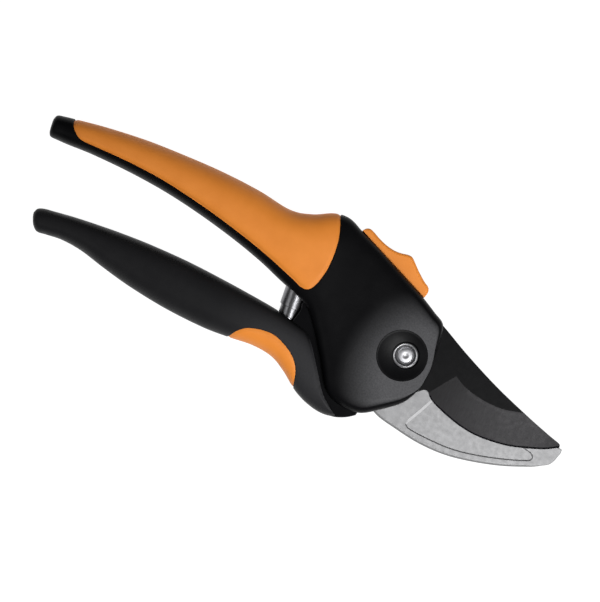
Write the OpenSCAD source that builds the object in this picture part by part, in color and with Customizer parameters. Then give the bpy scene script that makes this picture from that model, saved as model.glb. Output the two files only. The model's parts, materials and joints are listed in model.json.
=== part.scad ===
// Bypass pruner: a hooked counter blade held between two housing shells that run
// back as the upper handle, and a cutting blade riveted to the lower handle.
// Units are millimetres. The origin is on the pivot's axis at the surface the tool
// lies on. +X runs to the blade's tip, +Y to the thumb lock and +Z to the front.

/* [Body] */
// Thickness over the two cheeks of the housing
tool_t = 22; // [21.6:0.2:23]
// Thickness of the housing's front cheek
cheek_t = 5.7; // [5.1:0.1:5.7]
// Depth of the dished face around the pivot nut
dish_depth = 2.4; // [1.6:0.1:2.6]
// Radius of the dished face around the pivot nut
dish_r = 9.4; // [8.6:0.1:9.6]

/* [Blade and hook] */
// Thickness of the cutting blade
blade_t = 3; // [2.6:0.1:3]
// Thickness left at the ground cutting edge
edge_t = 0.3; // [0.2:0.1:0.6]
// Thickness of the hook
hook_t = 4.85; // [4.6:0.05:4.85]
// Depth of the sap relief in the hook's face
relief_d = 0.6; // [0.4:0.1:1.6]

/* [Pivot] */
// Radius of the pivot bolt's shank
bolt_r = 3; // [2.6:0.1:3]
// Radial clearance between bolt and bushing
bolt_fit = 0.05; // [0.02:0.01:0.1]
// Outer radius of the round pivot nut
nut_r = 4.65; // [4.4:0.05:4.8]

/* [Thumb lock] */
// Travel of the thumb lock from locked to free
lock_travel = 6; // [4:0.5:6]
// Width of the thumb lock across the tool
lock_w = 10; // [8:0.5:11]

/* [Spring] */
// Number of turns in the volute spring
spring_turns = 3.5; // [3:0.5:4]
// Width of the spring's flat strip
strip_w = 8; // [7:0.5:8]
// Thickness of the spring's flat strip
strip_t = 0.4; // [0.35:0.05:0.45]

/* [Surface] */
// Divisions between two stations of a moulded surface
steps = 3; // [2:1:4]
// Divisions around half of a moulded surface
arcs = 12; // [8:2:16]

/* [Hidden] */
$fn = 64;

mid = tool_t / 2;                 // parting plane of the shells
far = 60;                         // reach of a cut that leaves the tool
back = -200;                      // X behind the handles' tips, for such cuts
gap = 0.4;                        // side clearance of moving plastic
over = 1;                         // how far a cut runs past the face it opens
wall = 0.6;                       // plastic left round a bearing or a dish
drill_gap = 0.1;                  // clearance of the bolt, dowels and rivets, each end
loose = 0.3;                      // clearance of the lock's stem and the screw heads
cavity_low = 6;                   // inner face of the rear cheek
cavity_high = tool_t - cheek_t;   // inner face of the front cheek
hook_top = cavity_low + hook_t;   // face that the blade slides on
blade_low = 11;                   // rear face of the blade
blade_high = blade_low + blade_t;
washer_room = 0.6;                // space for the thrust washer
boss_low = blade_high + washer_room;

// Stations of the upper handle and housing, tip to nose: top edge x, y,
// bottom edge x, y, half thickness, and how square the section is.
upper_stations = [
    [-153.4, 16.2, -152.4, 10.7, 4.5, 2.6], [-152.7, 17.8, -151.4, 9.7, 6.6, 2.6],
    [-150, 18.7, -148.5, 9.8, 7.8, 2.6], [-145, 19.95, -144.5, 10.1, 8.4, 2.6],
    [-135, 22.3, -135, 11.1, 9, 2.5], [-120, 25, -120, 11.75, 9.6, 2.4],
    [-105, 26.7, -105, 11.5, 10.2, 2.4], [-90, 27.85, -90, 10.15, 10.7, 2.4],
    [-75, 28.05, -75, 7.95, 11, 2.5], [-62, 27.2, -63, 5.5, 11, 2.6],
    [-54, 29.5, -55, 3.3, 11, 2.8], [-47, 33.6, -47.5, 1.2, 10.9, 3.2],
    [-41, 34.6, -40, -1.6, 10.55, 4], [-34, 32.25, -33.8, -7.2, 10.3, 5],
    [-25, 29.3, -26.5, -15.8, 10.5, 6], [-15, 25.7, -19.7, -24.5, 11, 6],
    [-5, 22, -13, -27.2, 11.25, 6], [2, 18.9, -5, -26.4, 11.25, 6], [7, 16.2, 2, -21, 11.25, 6],
    [8.9, 9.4, 7.4, -15.4, 11.25, 6], [10.2, 2, 10, -9.4, 11.2, 6],
    [10.6, -2, 10.6, -5.4, 9.8, 5]];

// Stations of the lower handle, tip to nose, in the same form.
lower_stations = [
    [-143.9, -17.3, -143.1, -19.7, 3.6, 2.6], [-143.2, -15.6, -141.8, -21.8, 5.6, 2.6],
    [-141, -14.5, -139.6, -23.2, 6.8, 2.6], [-137, -13.6, -136, -22.6, 7.6, 2.6],
    [-130, -12.1, -130, -21.6, 8.4, 2.5], [-122, -10.7, -122, -21.8, 9, 2.4],
    [-112, -9.2, -112, -23.5, 9.6, 2.4], [-100, -7.85, -100, -25.1, 10.1, 2.4],
    [-85, -6.9, -85, -26, 10.5, 2.4], [-70, -6.75, -70, -25.65, 10.7, 2.4],
    [-59, -6.9, -60, -24.4, 10.7, 2.5], [-50, -7.2, -51, -22.9, 10.6, 2.6],
    [-42, -8, -43, -23.2, 10.4, 2.8], [-35, -9.2, -36.5, -25.9, 10.2, 3],
    [-27, -12, -29, -30.4, 10, 3], [-20, -16.5, -22, -32.6, 9.8, 3],
    [-13, -22, -15.5, -32.8, 9.6, 3], [-8, -26, -9, -30.3, 9.4, 3], [-6, -27, -6.4, -28.4, 9, 3]];

// Front-face outline of the orange grip on the upper handle, left end round to nose.
grip_edge = [[-146.5, 20.4], [-146.05, 18.2], [-145.1, 16.6], [-143.6, 15.25], [-141.8, 14.15],
             [-139.5, 13.75], [-134, 14.1], [-120, 14.9], [-105, 14.7], [-85, 12.6], [-65, 9.2],
             [-50, 5.5], [-45, 4.1], [-42, 5], [-40.2, 9.5], [-39.7, 17], [-41.2, 26],
             [-45, 34.8]];
// Upper edge of the orange crescent under the lower handle's finger stop.
crescent_edge = [[-60.2, -24.6], [-58, -20.6], [-54, -17.5], [-46, -15.8], [-38, -18.4],
                 [-33, -23], [-30.4, -30.2]];
// Edge where the lower handle's full thickness ends beside the housing.
ridge_edge = [[-40, -4], [-35, -9.3], [-30, -14.7], [-25, -20.6], [-20, -26.3],
              [-15, -29.8], [-10, -32.4], [-4, -36]];

// Bars of the shells that the soft parts are moulded round.
grip_core = [[-144, 12.6], [-143, 17], [-120, 21.5], [-100, 23.6], [-75, 24.6],
             [-60, 24], [-48, 28.5], [-38.5, 28], [-38.5, 2], [-48, 4], [-60, 7],
             [-75, 10], [-90, 12.1], [-105, 13.5], [-120, 13.7], [-135, 13]];
inlay_core = [[-66, -12], [-66, -20.5], [-54, -19.4], [-42, -19.4], [-33, -24],
              [-27, -28.5], [-25.5, -24], [-33, -14.5], [-40, -12]];
core_low = 4.6;                   // rear face of both bars
core_high = tool_t - core_low;    // front face of both bars

// Inside of the housing, open towards the jaws, the blade's top and the lower handle.
cavity = [[-2.5, far], [-2.5, 18.2], [-15, 22.3], [-30, 27.4], [-36, 28.4], [-37, 27],
          [-37.5, 5], [-37.6, 1.2], [-42.6, 1.2], [-43.2, -2], [-46, -12],
          [-30, -50], [far, -50], [far, far]];
// Boss that joins the shells at the housing's upper rear corner.
corner_boss = [-35.5, 23];
corner_boss_r = 3.4;

// Hook: sliding face outline, from the tang round the jaw and back.
hook_jaw = [[-16, -1], [-13, -10], [-8, -18], [0, -23.7], [10, -25.4], [20, -26.1], [30, -25.3],
            [40, -22.8], [50, -19.2], [59, -14.8], [63, -12.2], [65.6, -10], [66.8, -6],
            [66.9, -4.2], [65.9, -3.5], [60, -4.8], [52, -8], [43, -10.6], [34, -11.3],
            [25, -10.3], [18, -8.2], [14, -5]];
hook_tang = [[0, 0], [14, -5], [15, 3], [9, 12], [-4, 16], [-13, 21], [-15.5, 19.6], [-34, 11.5],
             [-36.6, 7], [-35, 2.5], [-28, 0], [-16, -1], [-13, -10]];
hook_hub_r = 16;
// Sap relief in the hook's face: the outline of its flat floor.
relief = [[17.4, -9.4], [15.2, -15], [12.6, -21.4], [12.9, -22.3], [14, -22.8], [20, -22.9],
          [30, -22.2], [40, -19.8], [50, -16.2], [56, -13.5], [58, -12.4], [58.4, -11.4],
          [57.8, -10.5], [56, -10], [50, -9.6], [43, -12], [34, -12.8], [25, -11.8], [19.5, -9.4]];

// Blade: spine from root to tip, then the cutting edge back to the heel.
blade_spine = [[-6, 14.5], [2, 17.2], [7, 16.1], [20, 10.8], [35, 5.5], [50, 1.3], [60, -1.1],
               [64.4, -2], [65.4, -2.6]];
blade_edge = [[65.6, -3.4], [60, -7], [50, -11.2], [42, -13.1], [35, -13.8], [28, -13.2],
              [21, -11.6], [16.2, -9.9], [14.2, -8.2]];
blade_heel = [[13.1, -7.5], [11.8, -8.1], [9.4, -10.3], [6, -12]];
// Boundary of the ground bevel, root to tip, which runs off over the spine so that
// the blade thins to its tip, and the edge below it.
bevel_top = [[20, 2], [25, 0], [30, -0.9], [35, -1.1], [41, -0.5], [48.5, 1.9],
             [57, 4.6], [70, 9]];
bevel_foot = [[13.4, -9], [20.6, -12.1], [27, -13.8], [34, -14.5], [41, -14.1], [49, -12.4],
              [58, -9], [66.4, -3.4]];
bevel_drop = 0.1;                 // how much lower the bevel runs at its foot
blade_hub_r = 13.4;
notch_r = 11.4;                   // depth of the lock's notch, as a radius
notch_from = 100;                 // directions that the notch spans
notch_to = 156;
notch_turn = 7;
notch_reach = 24;
tang = [[-10, 11], [-16, 2], [-30, -9], [-31, -18], [-26, -20], [-14, -13], [-3, -15]];
rivet_spots = [[-20, -8.6], [-27, -14.4]];
rivet_r = 2;

// Neck of the lower handle between the cheeks: it clears the hook at every angle.
neck_inner = [[190, 17], [199, 17.4], [206, 18.8], [214, 20], [222, 21.4], [234, 23], [246, 24.7],
              [258, 26.5]];       // direction, radius from the pivot
neck_outer = [[-5.7, -27.7], [-8.6, -30.1], [-12.6, -32], [-17, -32.4], [-22, -31.3], [-32, -25],
              [-40, -18], [-42.4, -13], [-42.5, -10], [-41.9, -7], [-41.5, -4.5], [-41.5, -2.5],
              [-42, -1], [-41.3, -0.1], [-39.6, 0.2], [-37.6, 0], [-36, -0.8], [-34, -1.5],
              [-28, -2.5]];

dish_spot = [-1.15, -0.6];
dish_ball = (dish_r * dish_r + dish_depth * dish_depth) / (2 * dish_depth);
bushing_r = 4.5;
washer_r = 8.6;
bolt_head_r = 5.4;
bolt_head_low = 0.4;
bolt_head_top = 3;
bolt_dome = 8;                    // radius of the domed end of the bolt
dome_rise = 1.3;                  // how far down the dome starts
dome_low = 0.3;                   // how far the dome's middle lies below the face
socket_r = 2.3;                   // hexagon socket, to its corners
socket_top = 2.1;
head_pocket_r = 6;
head_pocket_top = 3.8;
nut_low = tool_t - 4.6;
nut_top = tool_t - 1;
nut_chamfer = [0.5, 0.6];
groove_r = [3.6, 3.9];            // groove round the bolt's end, floor and rim
groove_low = tool_t - 1.5;

// Screws that hold the shells together; the first two also pass the hook's tang.
screw_spots = [[-13, 17.3], [-30.7, 6.2], corner_boss];
screw_r = 1.5;
screw_boss_r = 3.1;
screw_gap = 0.2;                  // clearance of a screw in a part it only passes
screw_head_r = 2.9;
screw_head_t = 1.6;
slot = [3.4, 0.7];                // one arm of the cross recess, length and width
slot_turn = 20;
slot_low = 1;                     // depth of the recess
screw_top = mid + 4.6;
screw_pocket = 2.6;               // floor height of each head's pocket
dowel_spots = [[-23, 3.2], [-6, -14.6]];
dowel_r = 1.5;
dowel_low = 3;

// The lock slides along the housing's top edge. In its own frame x runs along the
// slide, forwards, and y away from the pivot.
slide_tilt = -19.5;
button_outline = [[-43.9, 19.3], [-43.5, 20.8], [-42.4, 21.75], [-40.5, 21.95], [-37.5, 21.85],
                  [-34, 22.1], [-31, 22.8], [-28.6, 23.9], [-26.4, 25.4], [-25.2, 25.95],
                  [-24.2, 26], [-22.8, 25.6], [-19, 24.3], [-15, 23.3], [-13, 23.05],
                  [-11.9, 22.5], [-11.1, 21.3], [-10.8, 19.3]];
rail_from = -43.8;                // raised rail that the lock slides on
rail_to = -10.9;
rail_foot = 18;
rail_top = 19.27;
rail_w = 8.4;
stem_from = -31.5;
stem_to = -23;
stem_foot = 12;
stem_top = 20;
stem_w = 4.4;
plate_outline = [[-30, 15.6], [-30, 2.4], [-29.2, 1.6], [-13.4, 1.6], [-12.6, 2.4],
                 [-12.6, 5.2], [-13.4, 6], [-24, 6.6], [-24, 15.6]];
plate_t = 2.6;
plate_low = 11.2;
lock_pin_spots = [[-28.6, 13.7], [-25.4, 13.7]];
lock_pin_r = 0.9;
plate_seat = [[-30, 10], [-30, 15.6], [-24, 15.6], [-24, 10]];
leaf_front = 12.4;                // leaf's side nearer the lock's top
leaf_w = 3.4;
leaf_outline = [[-36.6, cavity_high], [-36.6, 15.4], [-31, 14.7], [-29.5, 14.2], [-28.3, 14.2],
                [-27, 14.7], [-22, 15.4], [-22, cavity_high], [-22.6, cavity_high],
                [-22.6, 15.8], [-27, 15.2], [-28.3, 14.7], [-29.5, 14.7], [-31, 15.2],
                [-36, 15.8], [-36, cavity_high]];

// Volute spring between the handles: its middle, lean, ends and outer radius.
spring_spot = [-44.8, -3.6];
spring_lean = 9;
spring_half = 9.6;
spring_r = 4.75;
spring_step = 0.52;               // radius lost on each turn
pocket_r = 5.4;                   // pocket in the housing
collar_r = 5.05;                  // pocket in the lower handle and its collar
collar_top = 5;                   // how far the collar's bore runs past the spring's middle
post_r = 2.3;                     // posts in the pockets that centre the spring
post_h = 4;
pocket_gap = 0.3;                 // room beyond each end of the spring

// A point on a smooth curve through list p, between items i and i + 1.
function between(p, i, t) =
    let (a = p[max(i - 1, 0)], b = p[i], c = p[i + 1], d = p[min(i + 2, len(p) - 1)])
    0.5 * (2 * b + (c - a) * t + (2 * a - 5 * b + 4 * c - d) * t * t
           + (3 * b - a - 3 * c + d) * t * t * t);
function curve(p, n = 3) =
    [for (i = [0 : len(p) - 2]) for (j = [0 : n - 1]) between(p, i, j / n), last(p)];
function last(p) = p[len(p) - 1];
function polar(a, r) = [r * cos(a), r * sin(a)];

// One ring of a moulded section at angle a: edge to edge across, bulging by side.
function ring_point(s, a) =
    let (c = cos(a), u = (1 - sign(c) * pow(abs(c), 2 / s[5])) / 2)
    [s[0] + (s[2] - s[0]) * u, s[1] + (s[3] - s[1]) * u,
     mid + sign(sin(a)) * s[4] * pow(abs(sin(a)), 2 / s[5])];

// Half of a moulded body on one side of the parting plane: side 1 front, -1 rear.
module half_loft(stations, side) {
    rows = curve(stations, steps);
    n = len(rows);
    m = arcs + 1;
    points = [for (s = rows) for (k = [0 : arcs]) ring_point(s, side * 180 * k / arcs)];
    skin = [for (i = [0 : n - 2]) for (k = [0 : arcs - 1])
        let (a = i * m + k) each [[a, a + m, a + 1], [a + 1, a + m, a + m + 1]]];
    floor = [for (i = [0 : n - 2]) let (a = i * m) [a + m, a, a + arcs, a + m + arcs]];
    caps = [[for (k = [0 : arcs]) k], [for (k = [arcs : -1 : 0]) (n - 1) * m + k]];
    faces = concat(skin, floor, caps);
    turned = [for (f = faces) [for (k = [len(f) - 1 : -1 : 0]) f[k]]];
    polyhedron(points = points, faces = side > 0 ? faces : turned, convexity = 8);
}

// A whole moulded body, both sides in one skin.
module full_loft(stations) {
    rows = curve(stations, steps);
    n = len(rows);
    m = 2 * arcs;
    points = [for (s = rows) for (k = [0 : m - 1]) ring_point(s, 180 * k / arcs)];
    skin = [for (i = [0 : n - 2]) for (k = [0 : m - 1])
        let (a = i * m + k, b = i * m + (k + 1) % m) each [[a, a + m, b], [b, a + m, b + m]]];
    caps = [[for (k = [0 : m - 1]) k], [for (k = [m - 1 : -1 : 0]) (n - 1) * m + k]];
    polyhedron(points = points, faces = concat(skin, caps), convexity = 8);
}

module slab(outline, low, high) {
    translate([0, 0, low]) linear_extrude(high - low) polygon(outline);
}

module rod(r, low, high, at = [0, 0]) {
    translate([at[0], at[1], low]) cylinder(r = r, h = high - low);
}

// A curve closed by going straight from both its ends to height y.
module region(edge, y, low, high) {
    slab(concat(curve(edge), [[last(edge)[0], y], [edge[0][0], y]]), low, high);
}

module grip_region(low, high) {
    region(grip_edge, far, low, high);
}

module crescent_region() {
    region(crescent_edge, -far, -over, tool_t + over);
}

module in_lock_frame() {
    rotate([0, 0, slide_tilt]) children();
}

module on_spring_axis() {
    translate([spring_spot[0], spring_spot[1], mid]) rotate([0, 0, spring_lean])
        rotate([-90, 0, 0]) children();
}

// Pocket for one end of the spring; end 1 is the upper one, -1 the lower one.
module spring_pocket(end) {
    on_spring_axis() translate([0, 0, end > 0 ? 0 : -spring_half - pocket_gap])
        cylinder(r = end > 0 ? pocket_r : collar_r,
            h = spring_half + pocket_gap + (end > 0 ? 0 : collar_top));
}

module spring_post(end) {
    foot = end > 0 ? spring_half - post_h : -spring_half - wall;
    on_spring_axis() translate([0, 0, foot]) cylinder(r = post_r, h = post_h + wall);
}

module lock_window() {
    in_lock_frame()
        translate([stem_from - lock_travel - gap, stem_foot, mid - stem_w / 2 - loose])
            cube([stem_to - stem_from + lock_travel + 2 * gap, far, stem_w + 2 * loose]);
}

// Everything on one side of the parting plane: side 1 front, -1 rear.
module half_space(side) {
    translate([back, -far, side > 0 ? mid : 0]) cube([far - back, 2 * far, mid]);
}

// A shell half before its screws.
module shell_body(side) {
    difference() {
        union() {
            in_lock_frame() translate([rail_from, rail_foot, side > 0 ? mid : mid - rail_w / 2])
                cube([rail_to - rail_from, rail_top - rail_foot, rail_w / 2]);
            difference() {
                intersection() {
                    half_loft(upper_stations, side);
                    half_space(side);
                }
                grip_region(-over, tool_t + over);
                slab(cavity, cavity_low, cavity_high);
            }
            intersection() {
                slab(grip_core, core_low, core_high);
                half_space(side);
            }
        }
        spring_pocket(1);
        lock_window();
    }
}

module front_shell() color([0.09, 0.09, 0.1]) difference() {
    union() {
        shell_body(1);
        rod(washer_r + wall, boss_low, cavity_high + over);
        rod(dish_r + wall, cavity_high, tool_t, dish_spot);
        for (i = [0, 1]) rod(screw_boss_r, hook_top, cavity_high + over, screw_spots[i]);
        rod(corner_boss_r, mid, cavity_high + over, corner_boss);
        intersection() {
            spring_post(1);
            half_space(1);
        }
    }
    translate([dish_spot[0], dish_spot[1], tool_t - dish_depth + dish_ball])
        sphere(r = dish_ball, $fn = 96);
    rod(bolt_r + drill_gap, 0, tool_t);
    rod(nut_r + screw_gap, nut_low, tool_t + over);
    for (s = screw_spots) rod(screw_r, 0, screw_top + screw_gap, s);
}
module rear_shell() color([0.08, 0.08, 0.09]) difference() {
    union() {
        shell_body(-1);
        rod(corner_boss_r, cavity_low - over, mid, corner_boss);
        intersection() {
            spring_post(1);
            half_space(-1);
        }
    }
    rod(bolt_r + drill_gap, -over, mid);
    rod(head_pocket_r, -over, head_pocket_top);
    for (s = screw_spots) {
        rod(screw_r + screw_gap, -over, mid + over, s);
        rod(screw_head_r + loose, -over, screw_pocket, s);
    }
    for (s = dowel_spots) rod(dowel_r, dowel_low, mid, s);
}

module upper_grip() color([0.92, 0.55, 0.2]) difference() {
    intersection() {
        full_loft(upper_stations);
        grip_region(0, tool_t);
    }
    slab(grip_core, core_low, core_high);
    spring_pocket(1);
}

module hook() color([0.74, 0.74, 0.75]) difference() {
    union() {
        slab(curve(concat(hook_jaw, [hook_jaw[0]])), cavity_low, hook_top);
        slab(hook_tang, cavity_low, hook_top);
        rod(hook_hub_r, cavity_low, hook_top);
    }
    slab(curve(concat(relief, [relief[0]])), hook_top - relief_d, hook_top + over);
    rod(bolt_r + bolt_fit, 0, mid + over);
    for (i = [0, 1]) rod(screw_r + screw_gap, 0, mid + over, screw_spots[i]);
    for (s = dowel_spots) rod(dowel_r, 0, mid + over, s);
}

module hook_dowels() color([0.62, 0.62, 0.64])
    for (s = dowel_spots) rod(dowel_r, dowel_low + drill_gap, hook_top - drill_gap, s);

module shell_screws() color([0.5, 0.5, 0.52]) for (s = screw_spots) difference() {
    union() {
        rod(screw_r, screw_pocket - over, screw_top, s);
        rod(screw_head_r, screw_pocket - screw_head_t, screw_pocket, s);
    }
    translate([s[0], s[1], screw_pocket - screw_head_t - over])
        for (turn = [0, 90]) rotate([0, 0, turn + slot_turn])
            translate([-slot[0] / 2, -slot[1] / 2, 0]) cube([slot[0], slot[1], slot_low + over]);
}

module pivot_bolt() color([0.8, 0.8, 0.82]) difference() {
    union() {
        rod(bolt_r, bolt_head_low, tool_t - dome_rise);
        rod(bolt_head_r, bolt_head_low, bolt_head_top);
        intersection() {
            rod(bolt_r, tool_t - dome_rise - drill_gap, tool_t);
            translate([0, 0, tool_t - dome_low - bolt_dome]) sphere(r = bolt_dome);
        }
    }
    translate([0, 0, -over]) cylinder(r = socket_r, h = socket_top + over, $fn = 6);
}

module pivot_nut() color([0.82, 0.82, 0.84]) rotate_extrude() polygon([
    [bolt_r, nut_low], [nut_r, nut_low], [nut_r, nut_top - nut_chamfer[1]],
    [nut_r - nut_chamfer[0], nut_top], [groove_r[1], nut_top], [groove_r[0], groove_low],
    [bolt_r, groove_low]]);

module bolt_washer() color([0.7, 0.7, 0.72]) difference() {
    rod(head_pocket_r - screw_gap, bolt_head_top, head_pocket_top);
    rod(bolt_r + drill_gap, bolt_head_low, mid);
}

module thrust_washer() color([0.85, 0.83, 0.75]) difference() {
    rod(washer_r, blade_high + bolt_fit, boss_low);
    rod(bushing_r + screw_gap, mid, tool_t);
}

module detent_leaf() color([0.6, 0.6, 0.62]) in_lock_frame()
    translate([0, leaf_front, 0]) rotate([90, 0, 0]) linear_extrude(leaf_w)
        polygon(leaf_outline);

module blade() color([0.2, 0.2, 0.21]) difference() {
    union() {
        slab(concat(curve(blade_spine), curve(blade_edge), curve(blade_heel)),
            blade_low, blade_high);
        rod(blade_hub_r, blade_low, blade_high);
        slab(tang, blade_low, blade_high);
    }
    bevel_cut();
    slab(concat([for (a = [notch_from : notch_turn : notch_to]) polar(a, notch_r)],
        [for (a = [notch_to : -notch_turn : notch_from]) polar(a, notch_reach)]),
        mid - over, tool_t);
    rod(bushing_r, mid - over, tool_t);
    for (s = rivet_spots) rod(rivet_r, mid - over, tool_t, s);
}

// Everything above the ground bevel, as a wedge that deepens to the edge.
module bevel_cut() {
    tops = curve(bevel_top);
    feet = curve(bevel_foot);
    n = len(tops);
    foot = blade_low + edge_t - bevel_drop;
    top = blade_high + over;
    points = [for (i = [0 : n - 1]) each [
        [tops[i][0], tops[i][1], blade_high], [feet[i][0], feet[i][1], foot],
        [feet[i][0], feet[i][1], top], [tops[i][0], tops[i][1], top]]];
    skin = [for (i = [0 : n - 2]) for (k = [0 : 3])
        let (a = 4 * i + k, b = 4 * i + (k + 1) % 4) each [[a, b, a + 4], [b, b + 4, a + 4]]];
    polyhedron(points = points, faces = concat(skin, [[3, 2, 1, 0],
        [4 * n - 4, 4 * n - 3, 4 * n - 2, 4 * n - 1]]), convexity = 6);
}

module blade_bushing() color([0.72, 0.55, 0.32]) difference() {
    rod(bushing_r, blade_low, boss_low - bolt_fit);
    rod(bolt_r + bolt_fit, mid - over, tool_t);
}

module blade_rivets() color([0.66, 0.66, 0.68])
    for (s = rivet_spots)
        rod(rivet_r, cavity_low + gap + screw_gap, cavity_high - gap - drill_gap, s);

module lower_handle() color([0.1, 0.1, 0.11]) difference() {
    union() {
        difference() {
            full_loft(lower_stations);
            slab(concat(curve(ridge_edge), [[far, last(ridge_edge)[1]], [far, far],
                [ridge_edge[0][0], far]]), -over, tool_t + over);
            crescent_region();
        }
        slab(concat([for (p = neck_inner) polar(p[0], p[1])], curve(neck_outer, 2)),
            cavity_low + gap, cavity_high - gap);
        slab(inlay_core, core_low, core_high);
    }
    slab(tang, blade_low, blade_high);
    for (s = rivet_spots) rod(rivet_r, 0, tool_t, s);
    difference() {
        spring_pocket(-1);
        spring_post(-1);
    }
}

module lower_inlay() color([0.92, 0.55, 0.2]) difference() {
    intersection() {
        full_loft(lower_stations);
        crescent_region();
    }
    slab(inlay_core, core_low, core_high);
    slab(curve(neck_outer, 2), cavity_low + gap, cavity_high - gap);
}

// Flat strip wound on a shrinking radius, so that its turns slide into each other.
module return_spring() color([0.75, 0.75, 0.77]) {
    per_turn = 20;
    n = spring_turns * per_turn;
    rise = 2 * spring_half - strip_w;
    points = [for (i = [0 : n]) let (a = 360 * i / per_turn,
        r = spring_r - spring_step * i / per_turn, z = spring_half - strip_w - rise * i / n)
        each [[r * cos(a), r * sin(a), z], [r * cos(a), r * sin(a), z + strip_w],
              [(r - strip_t) * cos(a), (r - strip_t) * sin(a), z + strip_w],
              [(r - strip_t) * cos(a), (r - strip_t) * sin(a), z]]];
    skin = [for (i = [0 : n - 1]) for (k = [0 : 3])
        let (a = 4 * i + k, b = 4 * i + (k + 1) % 4) each [[a, b, a + 4], [b, b + 4, a + 4]]];
    on_spring_axis() polyhedron(points = points, faces = concat(skin, [[3, 2, 1, 0],
        [4 * n, 4 * n + 1, 4 * n + 2, 4 * n + 3]]), convexity = 12);
}

module thumb_lock() color([0.93, 0.55, 0.2]) in_lock_frame() difference() {
    union() {
        translate([0, 0, mid - lock_w / 2]) linear_extrude(lock_w)
            polygon(curve(button_outline));
        translate([stem_from, stem_foot, mid - stem_w / 2])
            cube([stem_to - stem_from, stem_top - stem_foot, stem_w]);
    }
    slab(plate_seat, plate_low, plate_low + plate_t);
    for (s = lock_pin_spots) rod(lock_pin_r, 0, tool_t, s);
}

module lock_plate() color([0.6, 0.6, 0.62]) in_lock_frame() difference() {
    slab(plate_outline, plate_low, plate_low + plate_t);
    for (s = lock_pin_spots) rod(lock_pin_r, 0, tool_t, s);
}

module lock_pins() color([0.66, 0.66, 0.68]) in_lock_frame()
    for (s = lock_pin_spots) rod(lock_pin_r, mid - stem_w / 2, mid + stem_w / 2, s);

front_shell();
rear_shell();
upper_grip();
hook();
hook_dowels();
shell_screws();
pivot_bolt();
pivot_nut();
bolt_washer();
thrust_washer();
detent_leaf();
blade();
blade_bushing();
blade_rivets();
lower_handle();
lower_inlay();
return_spring();
thumb_lock();
lock_plate();
lock_pins();
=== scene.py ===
"""Bypass pruner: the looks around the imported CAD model. Shape data is in millimetres."""
import json
from math import cos, pi, radians, sin, sqrt

import bmesh
import bpy
import numpy as np
from mathutils import Matrix, Vector

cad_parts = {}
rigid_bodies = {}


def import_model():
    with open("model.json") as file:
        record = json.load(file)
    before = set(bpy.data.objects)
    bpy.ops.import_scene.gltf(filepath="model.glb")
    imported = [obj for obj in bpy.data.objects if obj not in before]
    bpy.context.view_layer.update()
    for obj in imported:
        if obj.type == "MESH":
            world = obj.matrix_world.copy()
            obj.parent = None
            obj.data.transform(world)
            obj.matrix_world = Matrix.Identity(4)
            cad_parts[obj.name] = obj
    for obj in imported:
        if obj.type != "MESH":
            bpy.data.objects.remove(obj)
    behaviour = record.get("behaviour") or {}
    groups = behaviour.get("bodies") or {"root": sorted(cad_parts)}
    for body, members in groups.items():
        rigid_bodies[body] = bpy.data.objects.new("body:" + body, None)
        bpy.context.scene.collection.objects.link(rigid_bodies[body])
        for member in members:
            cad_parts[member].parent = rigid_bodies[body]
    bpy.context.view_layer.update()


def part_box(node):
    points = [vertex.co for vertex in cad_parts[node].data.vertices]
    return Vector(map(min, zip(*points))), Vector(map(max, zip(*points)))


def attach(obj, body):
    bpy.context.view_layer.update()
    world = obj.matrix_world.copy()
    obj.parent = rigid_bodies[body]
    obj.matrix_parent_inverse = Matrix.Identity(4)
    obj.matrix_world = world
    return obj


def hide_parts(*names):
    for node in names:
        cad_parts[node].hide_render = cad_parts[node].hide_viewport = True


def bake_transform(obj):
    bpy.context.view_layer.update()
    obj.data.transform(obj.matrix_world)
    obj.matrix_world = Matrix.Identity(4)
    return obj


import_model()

MM = 0.001
UPPER, LOWER, LOCK = "upper_body", "lower_lever", "lock_slider"

# Levels along Z and sizes shared with the CAD model.
blade_box, hook_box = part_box("blade"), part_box("hook")
TOOL_T = 22.0
MID = TOOL_T / 2                      # parting plane of the shells
FAR = 60.0                            # reach of a cut that leaves the tool
BACK = -200.0                         # X behind the handles' tips, for such cuts
OVER = 1.0                            # how far a cut runs past the face it opens
SINK = 0.015                          # step that keeps joined faces from sharing a plane
WALL = 0.6                            # plastic left round a bearing or a dish
LOOSE = 0.3                           # clearance of the lock's stem
GAP = 0.4                             # side clearance of moving plastic
BLADE_LOW, BLADE_HIGH = blade_box[0][2] / MM, blade_box[1][2] / MM
HOOK_LOW, HOOK_HIGH = hook_box[0][2] / MM, hook_box[1][2] / MM
CAVITY_LOW, CAVITY_HIGH = 6.0, 16.3   # inner faces of the shells' cheeks
NECK_LOW = CAVITY_LOW + GAP           # the lower handle's neck, which turns between them
NECK_HIGH = CAVITY_HIGH - GAP
CORE_LOW = 4.6                        # bars under the soft grip and the inlay
CORE_HIGH = TOOL_T - CORE_LOW
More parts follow.
